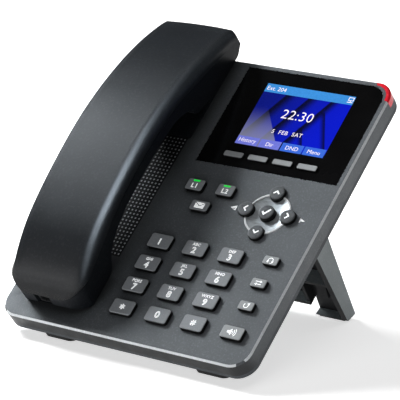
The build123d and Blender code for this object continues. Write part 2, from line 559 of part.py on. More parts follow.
# front shell: grip and the two cups
front_out = band(UNDER, JOIN, 0.0, -0.35) & hs_plan(0.0) & wedge(26.0, HS_FOOT, 0.0, 30.0)
front_lip = band(JOIN, JOIN, -1.6, 0.0) & hs_plan(0.5) & wedge(25.5, HS_FOOT - 0.5, 0.0, 30.0)
front_shell = front_out + front_lip
inner_front = band(UNDER, JOIN, HS_WALL, 2.0) & hs_plan(2.6) & wedge(23.3, HS_FOOT - HS_WALL - 0.3, 0.0, 30.0)
front_shell = front_shell - inner_front
EAR_V, MOUTH_V = 41.0, -110.5
front_shell = front_shell - rod(HS_U, EAR_V, (-1.0, 1.1), 15.5)
holes = []
for ring_n, ring_r in ((1, 0.0), (6, 3.6), (12, 7.2)):
    for k in range(ring_n):
        a = 2 * math.pi * k / ring_n
        holes.append(rod(HS_U + ring_r * math.cos(a), EAR_V + ring_r * math.sin(a), (-1.0, 4.0), 0.9))
for k in range(-2, 3):
    holes.append(rbox((HS_U + 3.0 * k - 0.6, HS_U + 3.0 * k + 0.6), (MOUTH_V - 3.0, MOUTH_V + 3.0), (-1.0, 4.0), 0.55))
front_shell = front_shell - holes
# cord jack in the chin, screws from the inside of the cups
hj_u, hj_w = HS_U - 1.5, 7.2
front_shell = front_shell - box((hj_u - 5.3, hj_u + 5.3), (-130.0, -119.0), (hj_w - 4.2, hj_w + 4.2))
hs_screw = [(HS_U, -98.5), (HS_U, 20.5)]
front_shell = front_shell + [rod(a, b, (1.6, 9.2), 4.3) & band(UNDER, JOIN, 0.6, -0.6) for a, b in hs_screw]
front_shell = front_shell - [rod(a, b, (-1.0, 16.0), 1.4) for a, b in hs_screw]
front_shell = front_shell - [rod(a, b, (-1.0, 4.0 if b < 0 else 5.0), 2.9) for a, b in hs_screw]
put("handset_front", front_shell)

hs_screws = []
for (a, b), w1 in zip(hs_screw, (4.0, 5.0)):
    s = rod(a, b, (w1 - 1.6, w1), 2.5) + rod(a, b, (w1, w1 + 9.0), 1.4)
    s = s - box((a - 1.7, a + 1.7), (b - 0.3, b + 0.3), (w1 - 2, w1 - 0.8))
    s = s - box((a - 0.3, a + 0.3), (b - 1.7, b + 1.7), (w1 - 2, w1 - 0.8))
    hs_screws.append(s)
put("handset_screws", group(hs_screws))

receiver = rod(HS_U, EAR_V, (2.6, 5.0), 13.0) + rod(HS_U, EAR_V, (5.0, 9.0), 9.0)
receiver = receiver - rod(HS_U, EAR_V, (2.0, 3.4), 11.0)
put("receiver_capsule", receiver)
put("handset_mic", rod(HS_U, MOUTH_V, (2.7, 6.7), 4.0) - rod(HS_U, MOUTH_V, (2.0, 3.3), 2.6))

hj = box((hj_u - 5.1, hj_u + 5.1), (-124.5, -114.5), (hj_w - 3.9, hj_w + 3.9))
hj = hj - box((hj_u - 3.9, hj_u + 3.9), (-128.0, -116.5), (hj_w - 3.0, hj_w + 3.2))
hj = hj - box((hj_u - 1.9, hj_u + 1.9), (-128.0, -116.5), (hj_w - 3.5, hj_w - 2.0))
put("handset_jack", hj)
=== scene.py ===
import math
import random

import bmesh
import bpy
from mathutils import Matrix, Vector
from mathutils.bvhtree import BVHTree


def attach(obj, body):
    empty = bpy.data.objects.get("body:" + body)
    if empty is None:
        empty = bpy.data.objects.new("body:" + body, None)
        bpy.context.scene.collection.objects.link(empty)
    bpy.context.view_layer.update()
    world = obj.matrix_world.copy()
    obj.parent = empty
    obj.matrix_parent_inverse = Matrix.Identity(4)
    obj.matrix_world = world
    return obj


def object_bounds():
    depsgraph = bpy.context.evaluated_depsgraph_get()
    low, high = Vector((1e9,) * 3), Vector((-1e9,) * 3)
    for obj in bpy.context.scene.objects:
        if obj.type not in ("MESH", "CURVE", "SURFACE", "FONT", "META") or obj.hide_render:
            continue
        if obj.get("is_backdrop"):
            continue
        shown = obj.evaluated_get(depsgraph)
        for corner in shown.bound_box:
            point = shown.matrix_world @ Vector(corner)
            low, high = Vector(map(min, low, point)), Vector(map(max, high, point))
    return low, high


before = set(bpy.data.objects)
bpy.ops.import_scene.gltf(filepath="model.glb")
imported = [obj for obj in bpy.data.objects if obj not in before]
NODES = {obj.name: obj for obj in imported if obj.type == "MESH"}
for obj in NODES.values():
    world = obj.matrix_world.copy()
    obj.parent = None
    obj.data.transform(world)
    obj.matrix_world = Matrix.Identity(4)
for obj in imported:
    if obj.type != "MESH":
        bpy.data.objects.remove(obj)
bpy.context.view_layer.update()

random.seed(7)

# ------------------------------------------------------------------ slab frame: u right, v up the face, w out of it (mm)
TILT = math.radians(39.2)
CT, ST = math.cos(TILT), math.sin(TILT)
SLAB = Matrix.Translation((0.00375, 0.0275, 0.0972)) @ Matrix.Rotation(TILT, 4, "X") @ Matrix.Scale(0.001, 4)
SLAB_N = Vector((0.0, -ST, CT))


def at(u, v, w=0.0):
    return SLAB @ Vector((u, v, w))


# ------------------------------------------------------------------ materials
def rgb(r, g, b):
    """display values 0-255 to linear"""
    def lin(c):
        c /= 255.0
        return c / 12.92 if c <= 0.04045 else ((c + 0.055) / 1.055) ** 2.4
    return (lin(r), lin(g), lin(b), 1.0)


class Mat:
    """a small helper round one principled material's nodes"""

    def __init__(self, name):
        self.m = bpy.data.materials.new(name)
        self.m.use_nodes = True
        self.t = self.m.node_tree
        self.b = self.t.nodes["Principled BSDF"]
        self.co = self.t.nodes.new("ShaderNodeTexCoord").outputs["Object"]

    def node(self, kind, **inputs):
        n = self.t.nodes.new(kind)
        for k, val in inputs.items():
            n.inputs[k.replace("_", " ")].default_value = val
        return n

    def link(self, a, b):
        self.t.links.new(a, b)

    def noise(self, scale, detail=3.0, rough=0.55, source=None, stretch=None):
        n = self.t.nodes.new("ShaderNodeTexNoise")
        n.inputs["Scale"].default_value = scale
        n.inputs["Detail"].default_value = detail
        n.inputs["Roughness"].default_value = rough
        src = source or self.co
        if stretch:
            mp = self.t.nodes.new("ShaderNodeMapping")
            mp.inputs["Scale"].default_value = stretch
            self.link(src, mp.inputs["Vector"])
            src = mp.outputs["Vector"]
        self.link(src, n.inputs["Vector"])
        return n.outputs["Fac"]

    def ramp(self, fac, a, b, lo=0.0, hi=1.0):
        """map range lo..hi of fac to a..b"""
        n = self.t.nodes.new("ShaderNodeMapRange")
        n.inputs["From Min"].default_value = lo
        n.inputs["From Max"].default_value = hi
        n.inputs["To Min"].default_value = a
        n.inputs["To Max"].default_value = b
        n.interpolation_type = "SMOOTHSTEP"
        self.link(fac, n.inputs["Value"])
        return n.outputs["Result"]

    def mix(self, fac, a, b):
        n = self.t.nodes.new("ShaderNodeMix")
        n.data_type = "RGBA"
        for sock, val in ((n.inputs["Factor"], fac), (n.inputs["A"], a), (n.inputs["B"], b)):
            pass
        f, ca, cb = n.inputs[0], n.inputs[6], n.inputs[7]
        for sock, val in ((f, fac), (ca, a), (cb, b)):
            if isinstance(val, bpy.types.NodeSocket):
                self.link(val, sock)
            else:
                sock.default_value = val
        return n.outputs[2]

    def math(self, op, a, b=0.0):
        n = self.t.nodes.new("ShaderNodeMath")
        n.operation = op
        for sock, val in ((n.inputs[0], a), (n.inputs[1], b)):
            if isinstance(val, bpy.types.NodeSocket):
                self.link(val, sock)
            else:
                sock.default_value = val
        return n.outputs[0]

    def bump(self, height, strength, distance, normal=None):
        n = self.t.nodes.new("ShaderNodeBump")
        n.inputs["Strength"].default_value = strength
        n.inputs["Distance"].default_value = distance
        self.link(height, n.inputs["Height"])
        if normal is not None:
            self.link(normal, n.inputs["Normal"])
        return n.outputs["Normal"]


def plastic(name, colour, rough=0.45, var=0.10, grain=2600.0, grain_k=0.25, coat=0.0, spec=0.5, worn=0.10, blotch=26.0, patch=0.05, fleck=0.35, soft=0.0, painted_shade_reach=0.0):
    """moulded plastic: cloudy colour, fine spark-eroded grain, patchy polish and faint scuffs"""
    m = Mat(name)
    c = Vector(colour[:3])
    dark = (*(c * (1.0 - var)), 1.0)
    light = (*(c * (1.0 + var) + Vector((0.002, 0.002, 0.002))), 1.0)
    cloud = m.noise(blotch, 4.0)
    base = m.mix(m.ramp(cloud, 0.0, 1.0, 0.3, 0.7), dark, light)
    speck = m.noise(grain * 0.6, 2.0)
    base = m.mix(m.ramp(speck, 0.0, fleck, 0.5, 0.72), base, (*(c * 1.5 + Vector((0.01, 0.01, 0.01))), 1.0))
    scuff = m.noise(220.0, 5.0, 0.7, stretch=(1.0, 5.0, 1.0))
    scuff_mask = m.ramp(scuff, 0.0, worn, 0.62, 0.74)
    base = m.mix(scuff_mask, base, (*(c * 1.9 + Vector((0.03, 0.03, 0.03))), 1.0))
    if painted_shade_reach:
        # painted shade: base colour darkened towards a near-black copy wherever other pieces stand close by (ambient
        # occlusion), standing in for the shadow they cast
        ao = m.t.nodes.new("ShaderNodeAmbientOcclusion")
        ao.samples = 8
        ao.inputs["Distance"].default_value = painted_shade_reach
        base = m.mix(m.ramp(ao.outputs["AO"], 0.0, 1.0, 0.42, 0.86), (*(c * 0.16), 1.0), base)
    m.link(base, m.b.inputs["Base Color"])
    r = m.ramp(m.noise(160.0, 5.0), rough - patch, rough + patch, 0.3, 0.7)
    m.link(m.math("ADD", r, m.math("MULTIPLY", scuff_mask, 0.4)), m.b.inputs["Roughness"])
    rounded = None
    if soft:
        # generously rounded moulded edges
        node = m.t.nodes.new("ShaderNodeBevel")
        node.samples = 8
        node.inputs["Radius"].default_value = soft
        rounded = node.outputs["Normal"]
    m.link(m.bump(m.noise(grain, 2.0), grain_k, 0.00006, m.bump(m.noise(420.0, 2.0), 0.04, 0.00008, rounded)), m.b.inputs["Normal"])
    m.b.inputs["Specular IOR Level"].default_value = spec
    if coat:
        m.b.inputs["Coat Weight"].default_value = coat
        m.b.inputs["Coat Roughness"].default_value = 0.12
    return m.m


def metal(name, colour, rough=0.3, brushed=None, worn=0.12):
    m = Mat(name)
    c = Vector(colour[:3])
    cloud = m.noise(90.0, 4.0)
    line = m.noise(900.0, 3.0, 0.6, stretch=brushed or (1.0, 1.0, 1.0))
    base = m.mix(m.ramp(line, 0.0, 1.0, 0.3, 0.7), (*(c * 0.82), 1.0), (*(c * 1.08), 1.0))
    base = m.mix(m.ramp(cloud, 0.0, worn, 0.5, 0.75), base, (*(c * 0.55), 1.0))
    m.link(base, m.b.inputs["Base Color"])
    m.link(m.ramp(line, rough - 0.08, rough + 0.1, 0.3, 0.7), m.b.inputs["Roughness"])
    m.link(m.bump(line, 0.18, 0.00004), m.b.inputs["Normal"])
    m.b.inputs["Metallic"].default_value = 1.0
    return m.m


def satin(name, colour, rough):
    """silver paint: half metallic, with fine lathe lines across it"""
    m = Mat(name)
    c = Vector(colour[:3])
    line = m.noise(900.0, 3.0, 0.6, stretch=(0.12, 2.0, 2.0))
    base = m.mix(m.ramp(line, 0.0, 1.0, 0.3, 0.7), (*(c * 0.86), 1.0), (*(c * 1.12), 1.0))
    base = m.mix(m.ramp(m.noise(60.0, 4.0), 0.0, 0.25, 0.45, 0.75), base, (*(c * 0.6), 1.0))
    m.link(base, m.b.inputs["Base Color"])
    m.link(m.ramp(line, rough - 0.05, rough + 0.08, 0.3, 0.7), m.b.inputs["Roughness"])
    m.link(m.bump(line, 0.15, 0.00004), m.b.inputs["Normal"])
    m.b.inputs["Metallic"].default_value = 0.35
    return m.m


def glow(name, colour, strength, rough=0.25, var=0.12, coat=0.5, spec=0.4, body=1.0):
    """a lit or printed surface under a clear gloss"""
    m = Mat(name)
    c = Vector(colour[:3])
    fac = m.ramp(m.noise(900.0, 3.0), 0.0, 1.0, 0.3, 0.7)
    col = m.mix(fac, (*(c * (1 - var)), 1.0), (*(c * (1 + var * 0.6)), 1.0))
    m.link(col if body >= 1.0 else m.mix(1.0 - body, col, (0.002, 0.002, 0.003, 1.0)), m.b.inputs["Base Color"])
    if strength:
        m.link(col, m.b.inputs["Emission Color"])
        m.b.inputs["Emission Strength"].default_value = strength
    m.link(m.ramp(m.noise(300.0, 3.0), rough - 0.05, rough + 0.08, 0.3, 0.7), m.b.inputs["Roughness"])
    m.link(m.bump(m.noise(1800.0, 2.0), 0.08, 0.00004), m.b.inputs["Normal"])
    m.b.inputs["Specular IOR Level"].default_value = spec
    m.b.inputs["Coat Weight"].default_value = coat
    m.b.inputs["Coat Roughness"].default_value = 0.08
    return m.m


M = {
    "body_plastic": plastic("body_plastic_finish", rgb(86, 90, 94), 0.46, 0.08, 1700.0, 1.0, spec=0.3, worn=0.03, fleck=0.6, painted_shade_reach=0.05),
    "handset_plastic": plastic("handset_plastic_finish", rgb(15, 18, 22), 0.40, 0.06, 1150.0, 0.8, spec=0.19, worn=0.0, patch=0.012, fleck=0.6, soft=0.0060),
    "housing_plastic": plastic("housing_plastic_finish", rgb(66, 70, 74), 0.5, 0.08, 1250.0, 0.9, spec=0.22, worn=0.03, fleck=0.6),
    # near-black copy of the stand plastic: painted shade for the inside of the tray
    "stand_inside_shade": plastic("stand_inner_painted_shade", rgb(22, 23, 25), 0.6, 0.10, 1400.0, 0.4, spec=0.2, worn=0.0),
    "stand_plastic": plastic("stand_plastic_finish", rgb(122, 129, 131), 0.55, 0.08, 1700.0, 0.40, spec=0.3),
    "handset_front_plastic": plastic("handset_front_finish", rgb(15, 18, 22), 0.44, 0.06, 1150.0, 0.8, spec=0.12, worn=0.0, patch=0.012, fleck=0.6),
    "grille_plastic": plastic("grille_plastic_finish", rgb(9, 10, 11), 0.5, 0.15, 2600.0, 0.2, spec=0.15, worn=0.0),
    "key_dark": plastic("key_dark_finish", rgb(142, 146, 150), 0.38, 0.05, 3000.0, 0.15, spec=0.3, worn=0.04),
    "key_round": plastic("key_round_finish", rgb(84, 87, 90), 0.30, 0.05, 3000.0, 0.10, spec=0.4, worn=0.04),
    "key_light": plastic("key_light_finish", rgb(156, 160, 162), 0.38, 0.05, 3000.0, 0.15, spec=0.3, worn=0.04),
    "lens": plastic("lens_finish", rgb(8, 8, 9), 0.14, 0.08, 900.0, 0.004, spec=0.10, worn=0.0, patch=0.004, fleck=0.0),
    "screen": plastic("screen_frame_finish", rgb(18, 20, 24), 0.4, 0.10, 2000.0, 0.15),
    "green_light": glow("green_light_finish", rgb(14, 215, 62), 0.8),
    "red_lamp": glow("red_lamp_finish", rgb(222, 24, 44), 0.12, 0.22, 0.08),
    "nav_metal": satin("nav_metal_finish", rgb(178, 184, 188), 0.32),
    "nav_trim": plastic("nav_trim_finish", rgb(240, 243, 245), 0.3, 0.05, 2400.0, 0.1, spec=0.8, worn=0.0),
    "rubber": plastic("rubber_finish", rgb(24, 24, 25), 0.78, 0.15, 1500.0, 0.5, spec=0.3),
    "dome_metal": metal("dome_metal_finish", rgb(190, 190, 188), 0.3),
    "board": plastic("board_finish", rgb(22, 78, 48), 0.45, 0.15, 1300.0, 0.3),
    "speaker_cone": plastic("speaker_cone_finish", rgb(28, 28, 30), 0.7, 0.2, 1100.0, 0.6),
    "capsule_metal": metal("capsule_metal_finish", rgb(165, 166, 168), 0.35),
    "screw_steel": metal("screw_steel_finish", rgb(120, 122, 126), 0.35),
    "jack_plastic": plastic("jack_plastic_finish", rgb(30, 31, 33), 0.5, 0.12, 2000.0, 0.25),
}
# near-black copy of the key plastic: painted shade on the key walls
KEY_SIDE_SHADE = plastic("key_side_painted_shade", rgb(7, 7, 8), 0.5, 0.15, 2600.0, 0.2, spec=0.2, worn=0.0)
# printed legends with a faint glow: painted light keeping the lettering bright where it lies in shade
INK = glow("legend_ink_glowing", rgb(240, 242, 244), 0.58, 0.45, 0.04, 0.0)
# painted highlight: near-white colour for the faceplate's front and right chamfers, standing for the light caught along
# those edges
EDGE_HIGHLIGHT = plastic("body_edge_painted_highlight", rgb(218, 222, 226), 0.32, 0.06, 1700.0, 0.3, spec=0.7, worn=0.1)
INK_DARK = glow("legend_dark_ink", rgb(20, 21, 23), 0.0, 0.5, 0.15, 0.0)
GOLD = metal("contact_gold", rgb(226, 178, 92), 0.25)
LABEL = plastic("label_paper", rgb(206, 208, 210), 0.5, 0.04, 1400.0, 0.1)
PRINT = glow("panel_print", rgb(170, 173, 176), 0.0, 0.6, 0.08, 0.0)

def finish_of(node):
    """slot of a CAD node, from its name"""
    table = {
        "faceplate": "body_plastic", "rear_housing": "housing_plastic", "handset_tab": "body_plastic", "hook_switch": "key_dark",
        "handset_back": "handset_plastic", "handset_front": "handset_front_plastic", "stand": "stand_plastic",
        "stand_feet": "rubber", "front_feet": "rubber", "speaker_grille": "grille_plastic", "display_lens": "lens",
        "lcd_module": "screen", "line_light_1": "green_light", "line_light_2": "green_light", "message_lamp": "red_lamp",
        "nav_dish": "nav_metal", "nav_ring": "nav_trim", "keypad_mat": "rubber", "snap_domes": "dome_metal",
        "main_board": "board", "loudspeaker": "speaker_cone", "hands_free_mic": "capsule_metal",
        "receiver_capsule": "capsule_metal", "handset_mic": "capsule_metal", "housing_screws": "screw_steel",
        "handset_screws": "screw_steel", "handset_jack": "jack_plastic", "handset_headset_jacks": "jack_plastic",
        "network_jacks": "jack_plastic", "power_jack": "jack_plastic", "stand_pins": "screw_steel",
    }
    if node in table:
        return table[node]
    if node.startswith(("soft_key", "headset_key", "transfer_key", "redial_key", "speaker_key")):
        return "key_light"
    if node.startswith("nav_") or node == "ok_key":
        return "key_round"
    return "key_dark"


KEY_NODES = [n for n in NODES if n.startswith(("key_", "soft_key", "line_key", "message_key", "headset_key", "transfer_key",
                                              "redial_key", "speaker_key", "nav_up", "nav_down", "nav_left",
                                              "nav_right", "ok_key")) and n != "keypad_mat"]
CAP_TOP = {}
SOFT_EDGE = {"handset_back": 0.0016}
CREASE = {"handset_back": 30}
for name, ob in NODES.items():
    me = ob.data
    me.materials.clear()
    me.materials.append(M[finish_of(name)])
    if name in KEY_NODES:
        me.materials.append(KEY_SIDE_SHADE)
        top = max(((v.co - at(0, 0, 0)).dot(SLAB_N)) for v in me.vertices)
        CAP_TOP[name] = top * 1000.0
        # polygons facing away from the face (the cap walls) take the painted shade colour; the tops keep the key colour
        for p in me.polygons:
            lift = (me.vertices[p.vertices[0]].co - at(0, 0, 0)).dot(SLAB_N)
            side = p.normal.dot(SLAB_N) < 0.35
            p.material_index = 1 if side else 0
    if name == "faceplate":
        me.materials.append(EDGE_HIGHLIGHT)
        for p in me.polygons:
            nw = p.normal.dot(SLAB_N)
            rel = p.center - at(0, 0, 0)
            u_, v_ = rel.x * 1000.0, (rel.y * CT + rel.z * ST) * 1000.0
            rim = u_ > 75.5 or u_ < -83.0 or v_ > 53.5 or v_ < -133.8
            # only the front and right outer chamfers get the painted highlight colour
            if 0.5 < nw < 0.9 and rim and (u_ < 75.5 or v_ < 20.0):
                p.material_index = 1
    if name == "stand":
        me.materials.append(M["stand_inside_shade"])
        for p in me.polygons:
            rel = p.center - at(0, 0, 0)
            u_ = rel.x * 1000.0
            # painted shade: the recessed inside of the tray, between its two cheeks, takes a near-black copy of the
            # stand plastic
            inside = -71.0 < u_ < 63.5 and not (p.normal.y > 0.5 or p.normal.z > 0.75)
            if inside and abs(p.normal.x) < 0.9:
                p.material_index = 1
            elif inside and abs(p.normal.x) >= 0.9 and abs(u_ + 3.75) < 66.5:
                p.material_index = 1
    if "custom_normal" in me.attributes:
        me.attributes.remove(me.attributes["custom_normal"])
    for p in me.polygons:
        p.use_smooth = True
    weld = ob.modifiers.new("weld", "WELD")
    weld.merge_threshold = 0.000002
    if name in SOFT_EDGE:
        bev = ob.modifiers.new("soft_edge", "BEVEL")
        bev.width = SOFT_EDGE[name]
        bev.segments = 2
        bev.limit_method = "ANGLE"
        bev.angle_limit = math.radians(24)
        bev.use_clamp_overlap = True
        bev.miter_outer = "MITER_ARC"
    cut = ob.modifiers.new("crease", "EDGE_SPLIT")
    cut.split_angle = math.radians(CREASE.get(name, 24))
    cut.use_edge_sharp = False
    wn = ob.modifiers.new("shading", "WEIGHTED_NORMAL")
    wn.keep_sharp = False
    wn.weight = 60


# ------------------------------------------------------------------ flat pieces built in slab coordinates
class Flat:
    """collects flat shapes (mm, in the slab's u, v) and makes one closed thin piece of them"""

    def __init__(self, name, w, thick=0.12, lift=0.03, matrix=None):
        self.name, self.lo, self.hi = name, w - thick, w + lift
        self.bm = bmesh.new()
        self.matrix = matrix or SLAB
        self.step = 0.0

    def poly(self, pts):
        """a filled outline"""
        hi = self.hi + self.step
        self.step += 0.0012
        area = sum(a[0] * b[1] - b[0] * a[1] for a, b in zip(pts, pts[1:] + pts[:1]))
        if area < 0:
            pts = pts[::-1]
        top = [self.bm.verts.new((p[0], p[1], hi)) for p in pts]
        bot = [self.bm.verts.new((p[0], p[1], self.lo)) for p in pts]
        self.bm.faces.new(top)
        self.bm.faces.new(bot[::-1])
        n = len(pts)
        for i in range(n):
            j = (i + 1) % n
            self.bm.faces.new((top[i], bot[i], bot[j], top[j]))
        return self

    def strip(self, pts, width, closed=False):
        """a line of that width"""
        hi = self.hi + self.step
        self.step += 0.0012
        n = len(pts)
        left, right = [], []
        for i in range(n):
            p = Vector(pts[i])
            if closed:
                a, b = Vector(pts[i - 1]), Vector(pts[(i + 1) % n])
            else:
                a, b = Vector(pts[max(i - 1, 0)]), Vector(pts[min(i + 1, n - 1)])
            d0 = (p - a).normalized() if (p - a).length > 1e-9 else (b - p).normalized()
            d1 = (b - p).normalized() if (b - p).length > 1e-9 else d0
            d = (d0 + d1)
            d = d.normalized() if d.length > 1e-6 else d1
            nrm = Vector((-d.y, d.x))
            k = max(0.35, abs(nrm.dot(Vector((-d1.y, d1.x)))))
            off = nrm * (width / 2 / k)
            left.append(p + off)
            right.append(p - off)
        v = {}
        for key, side_pts in (("L", left), ("R", right)):
            v[key + "t"] = [self.bm.verts.new((q.x, q.y, hi)) for q in side_pts]
            v[key + "b"] = [self.bm.verts.new((q.x, q.y, self.lo)) for q in side_pts]
        m = n if closed else n - 1
        for i in range(m):
            j = (i + 1) % n
            self.bm.faces.new((v["Rt"][i], v["Rt"][j], v["Lt"][j], v["Lt"][i]))
            self.bm.faces.new((v["Rb"][i], v["Lb"][i], v["Lb"][j], v["Rb"][j]))
            self.bm.faces.new((v["Lt"][i], v["Lt"][j], v["Lb"][j], v["Lb"][i]))
            self.bm.faces.new((v["Rt"][j], v["Rt"][i], v["Rb"][i], v["Rb"][j]))
        if not closed:
            self.bm.faces.new((v["Rt"][0], v["Lt"][0], v["Lb"][0], v["Rb"][0]))
            self.bm.faces.new((v["Lt"][-1], v["Rt"][-1], v["Rb"][-1], v["Lb"][-1]))
        return self

    def text(self, body, u, v, height, bold=0.0, spread=1.0, align="CENTER", turn=0.0, squeeze=1.0):
        """lettering whose capitals are about that high"""
        cu = bpy.data.curves.new("tmp_text", "FONT")
        cu.body = body
        cu.size = height / 0.70
        cu.align_x = align
        cu.align_y = "CENTER"
        cu.space_character = spread
        cu.offset = bold
        cu.resolution_u = 3
        cu.extrude = (self.hi - self.lo) / 2
        ob = bpy.data.objects.new("tmp_text", cu)
        bpy.context.scene.collection.objects.link(ob)
        bpy.context.view_layer.update()
        dg = bpy.context.evaluated_depsgraph_get()
        me = bpy.data.meshes.new_from_object(ob.evaluated_get(dg))
        xs = [q.co.x for q in me.vertices]
        ys = [q.co.y for q in me.vertices]
        cy = (min(ys) + max(ys)) / 2
        me.transform(Matrix.Translation((0, -cy, 0)))
        me.transform(Matrix.Diagonal((squeeze, 1, 1, 1)))
        me.transform(Matrix.Translation((u, v, (self.hi + self.lo) / 2 + self.step)) @ Matrix.Rotation(turn, 4, "Z"))
        self.step += 0.0012
        self.bm.from_mesh(me)
        bpy.data.objects.remove(ob)
        bpy.data.curves.remove(cu)
        bpy.data.meshes.remove(me)
        return self

    def done(self, body, mat, slot=None):
        me = bpy.data.meshes.new(self.name)
        self.bm.to_mesh(me)
        self.bm.free()
        me.transform(self.matrix)
        me.materials.append(mat)
        ob = bpy.data.objects.new(self.name, me)
        bpy.context.scene.collection.objects.link(ob)
        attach(ob, body)
        return ob


def arc(cx, cy, r, a0, a1, n=14, ry=None):
    return [(cx + r * math.cos(math.radians(a0 + (a1 - a0) * i / n)),
             cy + (ry or r) * math.sin(math.radians(a0 + (a1 - a0) * i / n))) for i in range(n + 1)]


def rounded(u0, u1, v0, v1, r, n=4):
    pts = []
    for cx, cy, a in ((u1 - r, v1 - r, 0), (u0 + r, v1 - r, 90), (u0 + r, v0 + r, 180), (u1 - r, v0 + r, 270)):
        pts += arc(cx, cy, r, a, a + 90, n)
    return pts


# ------------------------------------------------------------------ key legends
PAD = {}
labels = ["key_1", "key_2", "key_3", "key_4", "key_5", "key_6", "key_7", "key_8", "key_9", "key_star", "key_0", "key_hash"]
signs = ["1", "2", "3", "4", "5", "6", "7", "8", "9", "*", "0", "#"]
letters = ["", "ABC", "DEF", "GHI", "JKL", "MNO", "PQRS", "TUV", "WXYZ", "", "", ""]
for n, lab in enumerate(labels):
    ku, kv = -9.39 + 23.1 * (n % 3), -72.25 - 14.79 * (n // 3)
    top = CAP_TOP[lab]
    f = Flat(lab + "_legend", top)
    if lab == "key_star":
        for k in range(3):
            a = math.radians(90 + 60 * k)
            f.strip([(ku - 1.75 * math.cos(a), kv - 1.75 * math.sin(a)), (ku + 1.75 * math.cos(a), kv + 1.75 * math.sin(a))], 0.72)
    elif lab == "key_hash":
        for d in (-0.62, 0.62):
            f.strip([(ku + d - 0.35, kv - 1.75), (ku + d + 0.35, kv + 1.75)], 0.55)
            f.strip([(ku - 1.6, kv + d), (ku + 1.6, kv + d)], 0.52)
    else:
        low = 0.0 if lab == "key_0" else (-0.5 if lab == "key_1" else -1.35)
        f.text(signs[n], ku, kv + low, 3.8 if lab != "key_0" else 4.0, bold=0.17)
    if letters[n]:
        f.text(letters[n], ku, kv + 2.4, 1.7, bold=0.07, spread=1.08)
    f.done(lab, INK)

for lab, ku in (("line_key_1", -7.75), ("line_key_2", 12.3)):
    f = Flat(lab + "_legend", CAP_TOP[lab])
    f.text("L1" if lab.endswith("1") else "L2", ku + 0.1, -32.8 - 0.75, 2.9, bold=0.11, spread=1.1)
    f.done(lab, INK)

# envelope
ku, kv = 2.2, -45.5
f = Flat("message_key_legend", CAP_TOP["message_key"])
f.poly(rounded(ku - 3.0, ku + 3.0, kv - 1.85, kv + 1.85, 0.25, 2))
f.done("message_key", INK)
f = Flat("message_key_flap", CAP_TOP["message_key"], lift=0.05)
f.strip([(ku - 2.85, kv + 1.6), (ku, kv - 0.55), (ku + 2.85, kv + 1.6)], 0.42)
f.done("message_key", INK_DARK)

# direction buttons and the confirm key
for lab, du, dv in (("nav_up", 0, 1), ("nav_down", 0, -1), ("nav_left", -1, 0), ("nav_right", 1, 0)):
    cu_, cv_ = 43.4 + 13.4 * du, -41.4 + 13.4 * dv
    tip = Vector((cu_ + du * 0.75, cv_ + dv * 0.75))
    back = Vector((du, dv)) * 1.7
    side = Vector((-dv, du)) * 1.75
    f = Flat(lab + "_legend", CAP_TOP[lab])
    f.strip([tuple(tip - back + side), tuple(tip), tuple(tip - back - side)], 0.85)
    f.done(lab, INK)
f = Flat("ok_key_legend", CAP_TOP["ok_key"])
f.strip([(43.4 - 2.2, -41.4 - 0.1), (43.4 - 0.7, -41.4 - 1.7), (43.4 + 2.3, -41.4 + 1.9)], 1.05)
f.done("ok_key", INK)

# headset
ku, kv = 61.28, -70.14
f = Flat("headset_key_legend", CAP_TOP["headset_key"])
f.strip(arc(ku, kv - 0.1, 1.45, 200, -20, 18), 0.42)
for s in (-1, 1):
    f.poly(rounded(ku + s * 1.45 - 0.5, ku + s * 1.45 + 0.5, kv - 1.65, kv - 0.25, 0.3, 3))
f.strip([(ku + 1.5, kv - 1.5), (ku + 0.9, kv - 1.95), (ku + 0.1, kv - 1.95)], 0.3)
f.done("headset_key", INK)
# transfer: two opposed arrows
kv = -70.14 - 14.79
f = Flat("transfer_key_legend", CAP_TOP["transfer_key"])
f.strip([(ku - 2.0, kv + 0.75), (ku + 1.0, kv + 0.75)], 0.42)
f.poly([(ku + 0.8, kv + 1.6), (ku + 2.2, kv + 0.75), (ku + 0.8, kv - 0.1)])
f.strip([(ku + 2.0, kv - 0.95), (ku - 1.0, kv - 0.95)], 0.42)
f.poly([(ku - 0.8, kv - 0.1), (ku - 2.2, kv - 0.95), (ku - 0.8, kv - 1.8)])
f.done("transfer_key", INK)
# redial: an arrow turning back
kv = -70.14 - 2 * 14.79
f = Flat("redial_key_legend", CAP_TOP["redial_key"])
f.strip(arc(ku, kv - 0.05, 1.35, 130, 400, 20), 0.48)
f.poly([(ku + 0.25, kv + 1.2), (ku + 1.95, kv + 1.75), (ku + 1.75, kv + 0.1)])
f.done("redial_key", INK)
# loudspeaker
ku, kv = 61.6, -116.9
f = Flat("speaker_key_legend", CAP_TOP["speaker_key"])
f.poly([(ku - 3.0, kv - 0.75), (ku - 1.9, kv - 0.75), (ku - 0.4, kv - 1.95), (ku - 0.4, kv + 1.95), (ku - 1.9, kv + 0.75), (ku - 3.0, kv + 0.75)])
for r in (1.3, 2.3, 3.3):
    f.strip(arc(ku - 0.9, kv, r, -42, 42, 10), 0.42)
f.done("speaker_key", INK)

# printed triangles beside the cluster: a light outline round a grey middle
for s, lab, floor_w in ((-1, "left", 0.0), (1, "right", -0.5)):
    cu_, cv_ = 43.4 + s * 22.0, -41.35
    f = Flat(f"direction_mark_{lab}", floor_w, thick=0.2, lift=0.05)
    f.poly([(cu_ + s * 1.9, cv_), (cu_ - s * 1.85, cv_ + 1.65), (cu_ - s * 1.85, cv_ - 1.65)])
    f.done("base", INK)
    f = Flat(f"direction_mark_{lab}_middle", floor_w, thick=0.2, lift=0.07)
    f.poly([(cu_ + s * 0.4, cv_ - 0.4), (cu_ - s * 1.1, cv_ + 0.1), (cu_ - s * 1.1, cv_ - 1.0)])
    f.done("base", INK_DARK)


